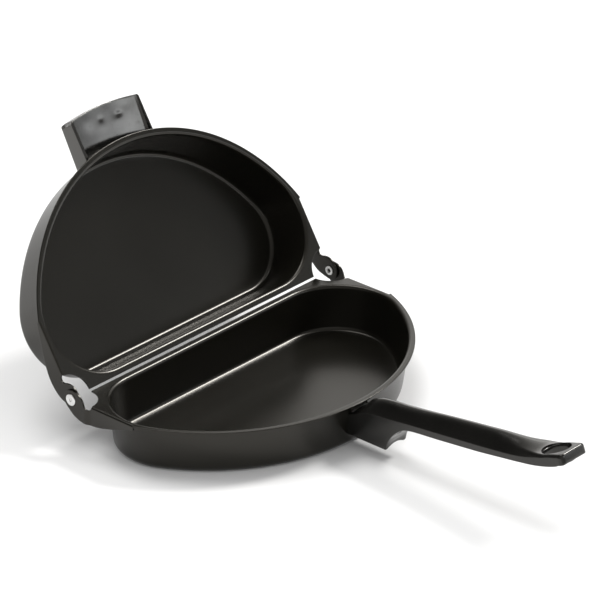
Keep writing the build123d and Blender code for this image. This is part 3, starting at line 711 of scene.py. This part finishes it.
def grip_section(x, nf=71):
    """U outline across the grip: (y, depth, kind), kind 1 on the recessed face, 2 at its corners, 3 on the back."""
    f, b = grip_floor(x), grip_back(x)
    g = GRIP_TOP
    r1, r2, r3, r4 = 0.4, 0.3, 0.7, 0.9
    fe = f - 2.5
    pts = []

    def c(cx, cy, r, t0, t1, kind, n=4):
        for t in np.linspace(t0, t1, n):
            pts.append((cx + r * math.cos(t), cy + r * math.sin(t), kind))
    c(30 - r1, g + r1, r1, 0, -PI / 2, 0)
    c(28.8 + r2, g + r2, r2, -PI / 2, -PI, 0)
    c(28.8 - 0.5, fe - 0.9 - 0.5, 0.5, 0, PI / 2, 2, 5)
    for y in np.linspace(28.8 - 0.5, -27.7 + r3, nf)[1:-1]:
        pts.append((y, f - grip_rise(y), 1))
    c(-27.7 + r3, fe - r3, r3, PI / 2, PI, 2, 5)
    c(-27.7 - r2, g + r2, r2, 0, -PI / 2, 0)
    c(-30 + r1, g + r1, r1, -PI / 2, -PI, 0)
    for t in np.linspace(0, 1, 8)[1:-1]:
        pts.append((-30, g + r1 + (b - r4 - g - r1) * t, 0))
    c(-30 + r4, b - r4, r4, PI, PI / 2, 3, 6)
    for y in np.linspace(-30 + r4, 30 - r4, 25)[1:-1]:
        pts.append((y, b, 3))
    c(30 - r4, b - r4, r4, PI / 2, 0, 3, 6)
    for t in np.linspace(0, 1, 8)[1:-1]:
        pts.append((30, b - r4 + (g + r1 - b + r4) * t, 0))
    return pts


SINKS = [(147.5, -2.5, 0.17, 1.8, 1.7), (146.0, 12.5, 0.25, 1.7, 2.2), (149.5, 4.0, -0.10, 6.0, 4.0), (142.5, 9.0, -0.13, 3.6, 4.5),
         (150.0, 20.0, 0.12, 4.0, 5.0), (141.0, -14.0, 0.10, 5.0, 7.0), (143.0, -3.0, -0.08, 3.0, 5.0), (149.0, -14.0, -0.08, 4.0, 5.0)]


def grip_mesh():
    ts = [0.0, 0.004, 0.01, 0.02] + list(np.linspace(0.04, 0.972, 64))
    rows = []
    rc = 1.6

    def end_x(y):
        e = math.sqrt(GRIP_END ** 2 - y * y)
        over = abs(y) - (30 - rc)
        if over > 0:
            e -= rc - math.sqrt(max(rc * rc - over * over, 0.0))
        return e

    def row(t, inset, extra=0.0):
        x_mid = 127.5 + (155.0 - 127.5) * t
        pts = []
        for y, d, flag in grip_section(x_mid):
            r = WELL_R + SHEET - d * TAPER
            x0 = WELL_CX + math.sqrt(r * r - y * y) + 0.12
            x1 = end_x(max(min(y, 29.99), -29.99))
            x = x0 + (x1 - x0) * t
            # the slanted faces follow the true x
            f0, b0 = grip_floor(x_mid), grip_back(x_mid)
            if flag in (1, 2):
                d += grip_floor(x) - f0
            elif flag == 3:
                d += grip_back(x) - b0
            if flag == 1:
                for sx, sy, h, wx, wy in SINKS:
                    d += h * math.exp(-((x - sx) / wx) ** 2 - ((y - sy) / wy) ** 2)
                # the face turns away near the rim
                d += 0.024 * (150.0 - x) + 0.0013 * max(142.0 - x, 0.0) ** 2
            pts.append([x, y, d])
        return pts

    for t in ts:
        rows.append(row(t, 0.0))
    # rounded outer end: walk the last rows inwards along the outline's own normals
    last = np.array(row(1.0, 0.0))
    nu = len(last)
    prev = np.roll(last, 1, axis=0)
    nxt = np.roll(last, -1, axis=0)
    tan = (nxt - prev)[:, 1:]
    ln = np.linalg.norm(tan, axis=1)[:, None]
    tan = tan / np.where(ln < 1e-9, 1, ln)
    nrm = np.stack([tan[:, 1], -tan[:, 0]], 1)
    mid = last[:, 1:].mean(0)
    r = 0.5
    sign = 1.0
    # loop runs so that this normal points into the material or out of it; test on the wall's outer face
    k = int(np.argmax(last[:, 1]))
    if nrm[k, 0] > 0:
        sign = -1.0
    for a in np.linspace(0, PI / 2, 6):
        q = last.copy()
        q[:, 0] -= r * (1 - math.sin(a))
        q[:, 1:] += sign * nrm * r * (1 - math.cos(a))
        rows.append(q.tolist())
    verts = [p for rr in rows for p in rr]
    faces = grid_faces(nu, len(rows))
    faces.append(tuple(range(nu)))
    # the end follows the arc, so it is filled with small triangles
    flat = [Vector((p[1], p[2])) for p in last]
    turn = sum(flat[i - 1].x * flat[i].y - flat[i].x * flat[i - 1].y for i in range(nu))
    cap = delaunay_2d_cdt(flat, [], [list(range(nu))], 1, 1e-7)
    for tri in cap[2]:
        t = [(len(rows) - 1) * nu + cap[3][i][0] for i in tri if cap[3][i]]
        if len(set(t)) < 3:
            continue
        faces.append(tuple(t if turn > 0 else t[::-1]))
    v = np.array(verts)
    v[:, 2] += GAP
    return make_object("grip_body", place(UPPER, v), faces)


def boss_mesh():
    """Rounded block on the back of the grip that holds the bracket's tongue and the screw."""
    outline = rounded_polygon([(118, -10.5), (151, -10.5), (151, 10.5), (118, 10.5)], [0.3, 5.0, 5.0, 0.3], seg=10)
    layers = []
    for d in np.linspace(12.2, 22.9, 9):
        layers.append((d, (d - 12.0) * math.tan(math.radians(2))))
    base_in = (22.9 - 12.0) * math.tan(math.radians(2))
    for a in np.linspace(0, PI / 2, 7)[1:]:
        layers.append((22.9 + 1.3 * math.sin(a), base_in + 1.3 * (1 - math.cos(a))))
    verts = []
    n = len(outline)
    for d, ins in layers:
        for x, y in offset_outline(outline, -ins):
            r = WELL_R + SHEET - d * TAPER
            x0 = WELL_CX + math.sqrt(r * r - y * y) + 0.12
            verts.append((max(x, x0), y, d + GAP))
    faces = grid_faces(n, len(layers))
    faces.append(tuple(range(n)))
    faces.append(tuple((len(layers) - 1) * n + i for i in range(n)))
    ob = make_object("boss", place(UPPER, verts), faces, sharp=60)
    # counterbore for the screw head
    o, a, b, c = UPPER
    org = np.array(o) + 139.0 * np.array(a)
    fr = (tuple(org), tuple(a), tuple(b), tuple(c))
    cut(ob, prism("bore_cutter", [(4.7 * math.cos(t), 4.7 * math.sin(t)) for t in np.linspace(0, 2 * PI, 49)[:-1]], 20.6 + GAP, 30, fr))
    return ob


def build_grip():
    ob = join([grip_mesh(), boss_mesh()], "short_grip_body")
    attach(ob, "upper")
    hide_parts("short_grip")
    return ob


# ------------------------------------------------------------------ materials
def new_material(name):
    m = bpy.data.materials.new(name)
    m.use_nodes = True
    nt = m.node_tree
    bsdf = nt.nodes["Principled BSDF"]
    return m, nt, bsdf


def noise(nt, scale, detail=4.0, rough=0.55, coord=None, distortion=0.0):
    n = nt.nodes.new("ShaderNodeTexNoise")
    n.inputs["Scale"].default_value = scale
    n.inputs["Detail"].default_value = detail
    n.inputs["Roughness"].default_value = rough
    n.inputs["Distortion"].default_value = distortion
    nt.links.new(coord, n.inputs["Vector"])
    return n.outputs["Fac"]


def ramp(nt, fac, stops):
    r = nt.nodes.new("ShaderNodeValToRGB")
    cr = r.color_ramp
    while len(cr.elements) < len(stops):
        cr.elements.new(0.5)
    for e, (p, c) in zip(cr.elements, stops):
        e.position = p
        e.color = (*c, 1.0) if len(c) == 3 else c
    nt.links.new(fac, r.inputs["Fac"])
    return r.outputs["Color"]


def remap(nt, fac, a, b, lo, hi):
    m = nt.nodes.new("ShaderNodeMapRange")
    m.inputs["From Min"].default_value = a
    m.inputs["From Max"].default_value = b
    m.inputs["To Min"].default_value = lo
    m.inputs["To Max"].default_value = hi
    nt.links.new(fac, m.inputs["Value"])
    return m.outputs["Result"]


def math_node(nt, op, a, b):
    m = nt.nodes.new("ShaderNodeMath")
    m.operation = op
    for i, v in enumerate((a, b)):
        if isinstance(v, (int, float)):
            m.inputs[i].default_value = v
        else:
            nt.links.new(v, m.inputs[i])
    return m.outputs[0]


def coords(nt):
    return nt.nodes.new("ShaderNodeTexCoord").outputs["Object"]


def bump(nt, height, strength, distance, prev=None):
    b = nt.nodes.new("ShaderNodeBump")
    b.inputs["Strength"].default_value = strength
    b.inputs["Distance"].default_value = distance
    nt.links.new(height, b.inputs["Height"])
    if prev is not None:
        nt.links.new(prev, b.inputs["Normal"])
    return b.outputs["Normal"]


def mat_nonstick():
    m, nt, p = new_material("nonstick_coating")
    co = coords(nt)
    big = noise(nt, 9.0, 3.0, 0.5, co)
    fine = noise(nt, 900.0, 3.0, 0.6, co)
    edge = nt.nodes.new("ShaderNodeNewGeometry").outputs["Pointiness"]
    worn = math_node(nt, "MULTIPLY", remap(nt, edge, 0.53, 0.62, 0.0, 1.0), remap(nt, noise(nt, 140.0, 4.0, 0.7, co), 0.5, 0.72, 0.0, 1.0))
    col = ramp(nt, big, [(0.3, (0.0046, 0.0043, 0.0032)), (0.7, (0.0064, 0.0059, 0.0045))])
    mix = nt.nodes.new("ShaderNodeMix")
    mix.data_type = "RGBA"
    nt.links.new(worn, mix.inputs["Factor"])
    nt.links.new(col, mix.inputs["A"])
    mix.inputs["B"].default_value = (0.035, 0.033, 0.030, 1.0)
    nt.links.new(mix.outputs["Result"], p.inputs["Base Color"])
    r = math_node(nt, "ADD", remap(nt, big, 0.3, 0.7, 0.21, 0.25), remap(nt, fine, 0.3, 0.7, -0.01, 0.01))
    nt.links.new(r, p.inputs["Roughness"])
    n1 = bump(nt, noise(nt, 16.0, 1.0, 0.4, co), 0.04, 0.0005)
    nt.links.new(n1, p.inputs["Normal"])
    p.inputs["IOR"].default_value = 1.44
    p.inputs["Specular Tint"].default_value = (1.0, 0.955, 0.87, 1.0)
    return m


def mat_phenolic(name, ior):
    m, nt, p = new_material(name)
    co = coords(nt)
    big = noise(nt, 30.0, 3.0, 0.5, co)
    fine = noise(nt, 700.0, 3.0, 0.6, co)
    col = ramp(nt, big, [(0.3, (0.0042, 0.0041, 0.0037)), (0.7, (0.0060, 0.0058, 0.0052))])
    nt.links.new(col, p.inputs["Base Color"])
    scuff = remap(nt, noise(nt, 260.0, 5.0, 0.75, co), 0.56, 0.75, 0.0, 0.10)
    r = math_node(nt, "ADD", remap(nt, big, 0.3, 0.7, 0.15, 0.20), scuff)
    nt.links.new(r, p.inputs["Roughness"])
    n1 = bump(nt, noise(nt, 45.0, 2.0, 0.5, co), 0.10, 0.0006)
    n2 = bump(nt, fine, 0.06, 0.00008, n1)
    nt.links.new(n2, p.inputs["Normal"])
    p.inputs["IOR"].default_value = ior
    p.inputs["Specular Tint"].default_value = (1.0, 0.975, 0.93, 1.0)
    return m


def mat_rivet():
    m, nt, p = new_material("rivet_aluminium")
    co = coords(nt)
    big = noise(nt, 260.0, 4.0, 0.6, co)
    col = ramp(nt, big, [(0.3, (0.62, 0.62, 0.61)), (0.7, (0.86, 0.86, 0.85))])
    nt.links.new(col, p.inputs["Base Color"])
    p.inputs["Metallic"].default_value = 1.0
    nt.links.new(remap(nt, noise(nt, 600.0, 5.0, 0.7, co), 0.3, 0.7, 0.26, 0.46), p.inputs["Roughness"])
    nt.links.new(bump(nt, noise(nt, 1400.0, 3.0, 0.6, co), 0.25, 0.00006), p.inputs["Normal"])
    return m


def mat_fixing():
    m, nt, p = new_material("zinc_steel")
    co = coords(nt)
    big = noise(nt, 180.0, 4.0, 0.6, co)
    col = ramp(nt, big, [(0.3, (0.42, 0.42, 0.41)), (0.7, (0.60, 0.60, 0.58))])
    nt.links.new(col, p.inputs["Base Color"])
    p.inputs["Metallic"].default_value = 1.0
    nt.links.new(remap(nt, noise(nt, 500.0, 5.0, 0.7, co), 0.3, 0.7, 0.34, 0.55), p.inputs["Roughness"])
    nt.links.new(bump(nt, noise(nt, 1200.0, 3.0, 0.6, co), 0.25, 0.00008), p.inputs["Normal"])
    return m


NONSTICK, RIVET, FIXING = mat_nonstick(), mat_rivet(), mat_fixing()
# phenolic_grip is the handle's phenolic copied with a higher IOR (1.8 against 1.5), so the grip's face reflects more
# light: a lit copy of the same plastic, brighter than the handle
PHENOLIC, PHENOLIC_GRIP = mat_phenolic("phenolic", 1.5), mat_phenolic("phenolic_grip", 1.8)


def dress(ob, mat):
    ob.data.materials.clear()
    ob.data.materials.append(mat)


dress(pan_half("lower_shell", LOWER, 1.45, "lower", "lower_pan_shell"), NONSTICK)
dress(pan_half("upper_shell", UPPER, 0.0, "upper", "upper_pan_shell"), NONSTICK)
dress(rivet("rivet_left", -1, "hinge_rivet_left"), RIVET)
dress(rivet("rivet_right", 1, "hinge_rivet_right"), RIVET)
dress(build_handle(), PHENOLIC)
dress(build_grip(), PHENOLIC_GRIP)
for node in ("handle_bracket", "handle_screw", "handle_lock_washer", "grip_bracket", "grip_screw", "grip_lock_washer"):
    dress(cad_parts[node], FIXING)

# ------------------------------------------------------------------ floor
def build_floor():
    me = bpy.data.meshes.new("floor")
    s = 9.0
    me.from_pydata([(-s, -s, 0), (s, -s, 0), (s, s, 0), (-s, s, 0)], [], [(0, 1, 2, 3)])
    ob = bpy.data.objects.new("floor", me)
    bpy.context.scene.collection.objects.link(ob)
    m, nt, p = new_material("floor_white")
    co = coords(nt)
    col = ramp(nt, noise(nt, 3.0, 2.0, 0.5, co), [(0.3, (0.80, 0.80, 0.80)), (0.7, (0.83, 0.83, 0.83))])
    nt.links.new(col, p.inputs["Base Color"])
    p.inputs["Roughness"].default_value = 0.7
    p.inputs["Specular IOR Level"].default_value = 0.15
    me.materials.append(m)


build_floor()

# ------------------------------------------------------------------ light
def soft_sun(name, direction, angle, strength, color=(1, 1, 1)):
    """Round soft light from far away; direction points from the pan to the light."""
    d = bpy.data.lights.new(name, "SUN")
    d.angle = math.radians(angle)
    d.energy = strength
    d.color = color
    ob = bpy.data.objects.new(name, d)
    bpy.context.scene.collection.objects.link(ob)
    ob.rotation_euler = Vector(direction).to_track_quat("Z", "Y").to_euler()
    ob.location = Vector(direction) * 3.0
    return ob


soft_sun("key", (0.19, 0.663, 0.722), 14.0, 1.75, (1.0, 0.99, 0.97))
soft_sun("top", (-0.36, 0.08, 0.93), 34.0, 1.3, (1.0, 0.995, 0.985))

world = bpy.data.worlds.new("studio")
bpy.context.scene.world = world
world.use_nodes = True
wn = world.node_tree
bg = wn.nodes["Background"]
tc = wn.nodes.new("ShaderNodeTexCoord")


def lobe(direction, sharp):
    """1 towards a direction, falling off around it."""
    v = Vector(direction).normalized()
    dot = wn.nodes.new("ShaderNodeVectorMath")
    dot.operation = "DOT_PRODUCT"
    wn.links.new(tc.outputs["Generated"], dot.inputs[0])
    dot.inputs[1].default_value = v
    m = math_node(wn, "SUBTRACT", dot.outputs["Value"], 1.0)
    m = math_node(wn, "MULTIPLY", m, sharp)
    return math_node(wn, "EXPONENT", m, 0.0)


def tint(value, color):
    c = wn.nodes.new("ShaderNodeVectorMath")
    c.operation = "SCALE"
    c.inputs[0].default_value = color
    wn.links.new(value, c.inputs["Scale"])
    return c.outputs["Vector"]


def add(a, b):
    c = wn.nodes.new("ShaderNodeVectorMath")
    c.operation = "ADD"
    wn.links.new(a, c.inputs[0])
    wn.links.new(b, c.inputs[1])
    return c.outputs["Vector"]


dark = math_node(wn, "SUBTRACT", 1.0, math_node(wn, "MULTIPLY", lobe((-0.62, -0.30, 0.72), 7.0), 0.92))
still = math_node(wn, "SUBTRACT", 1.0, math_node(wn, "MULTIPLY", lobe((0.63, 0.68, 0.38), 9.0), 0.88))
base = math_node(wn, "MULTIPLY", math_node(wn, "MULTIPLY", dark, still), 0.22)
total = tint(base, (1.0, 0.975, 0.93))
total = add(total, tint(math_node(wn, "MULTIPLY", lobe((-0.60, 0.66, 0.42), 9.0), 0.72), (1.0, 0.98, 0.94)))
total = add(total, tint(math_node(wn, "MULTIPLY", lobe((0.80, -0.50, 0.35), 3.0), 0.34), (1.0, 0.99, 0.97)))
total = add(total, tint(math_node(wn, "MULTIPLY", lobe((0.19, 0.663, 0.722), 60.0), 9.0), (1.0, 0.99, 0.97)))
total = add(total, tint(math_node(wn, "MULTIPLY", lobe((0.19, 0.663, 0.722), 20.0), 3.0), (1.0, 0.99, 0.97)))
total = add(total, tint(math_node(wn, "MULTIPLY", lobe((-0.66, 0.70, 0.26), 70.0), 2.0), (1.0, 0.99, 0.98)))
# a low strip light
for off, power in ((-0.56, 3.0), (-0.42, 3.6), (-0.28, 3.6), (-0.14, 3.4), (0.0, 3.2), (0.14, 3.4), (0.28, 2.2)):
    way = (0.722 - 0.565 * off, 0.665 + 0.744 * off, 0.175 - 0.347 * off)
    total = add(total, tint(math_node(wn, "MULTIPLY", lobe(way, 300.0), power), (0.92, 0.96, 1.0)))
# the room itself is an even pale dome; what the gloss picks up is the set of soft lights above
path = wn.nodes.new("ShaderNodeLightPath")
room = wn.nodes.new("ShaderNodeMix")
room.data_type = "RGBA"
wn.links.new(math_node(wn, "MAXIMUM", path.outputs["Is Diffuse Ray"], path.outputs["Is Camera Ray"]), room.inputs["Factor"])
wn.links.new(total, room.inputs["A"])
room.inputs["B"].default_value = (0.83, 0.83, 0.83, 1.0)
wn.links.new(room.outputs["Result"], bg.inputs["Color"])
bg.inputs["Strength"].default_value = 1.0
world.cycles.sampling_method = "NONE"

# ------------------------------------------------------------------ camera
az, el = math.radians(41.92), math.radians(26.95)
fwd = Vector((-math.sin(az) * math.cos(el), math.cos(az) * math.cos(el), -math.sin(el)))
right = Vector((math.cos(az), math.sin(az), 0))
up = right.cross(fwd)
dist, f = 2488.3, 4000.0
eye = -(fwd * dist + right * (-94.2 / f * dist) - up * (32.28 / f * dist))
eye = (eye + Vector((HX, 0, HZ))) * 0.001
cam = bpy.data.cameras.new("camera")
cam.sensor_width = 36.0
cam.sensor_height = 36.0
cam.sensor_fit = "HORIZONTAL"
cam.lens = 36.0 * f / 600.0
cam.clip_end = 60.0
cob = bpy.data.objects.new("camera", cam)
bpy.context.scene.collection.objects.link(cob)
rot = Matrix((right, up, -fwd)).transposed()
cob.matrix_world = Matrix.Translation(eye) @ rot.to_4x4()
bpy.context.scene.camera = cob

sc = bpy.context.scene
sc.view_settings.view_transform = "Standard"
sc.view_settings.look = "None"
sc.view_settings.exposure = 0.0
sc.view_settings.gamma = 1.0
